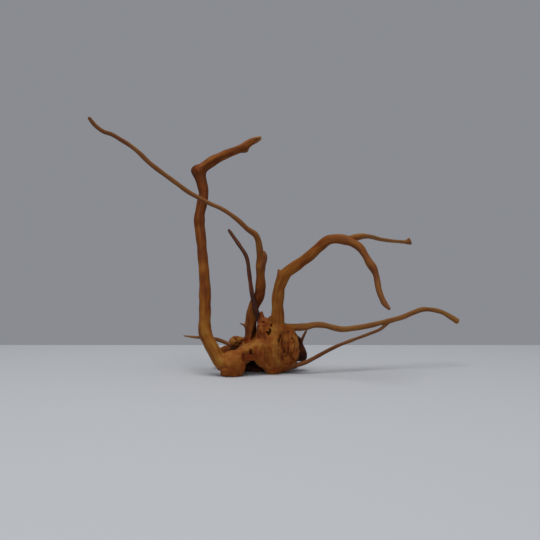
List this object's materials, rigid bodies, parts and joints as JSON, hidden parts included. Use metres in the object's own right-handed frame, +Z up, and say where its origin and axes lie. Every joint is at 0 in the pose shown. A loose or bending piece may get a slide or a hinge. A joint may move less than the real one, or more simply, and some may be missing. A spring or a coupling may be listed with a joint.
{
  "type": "spiderwood root",
  "caption": "Branching spiderwood root that stands on the feet of its knotted burl, with an elbowed stem, a long thin branch, an arched stem and trailing twigs.",
  "frame": {"origin": "on the resting plane under the middle of the piece's box", "axes": "+Z up, +X to the right along the spread of the branches as the picture shows it, +Y away from the viewer"},
  "size_m": [0.37, 0.1194, 0.2495],
  "materials": {
    "wood": "stripped of bark, dry, satin-matt, with fine lengthwise grain"
  },
  "bodies": {
    "root": {"spiderwood_root": "wood"}
  },
  "joints": []
}
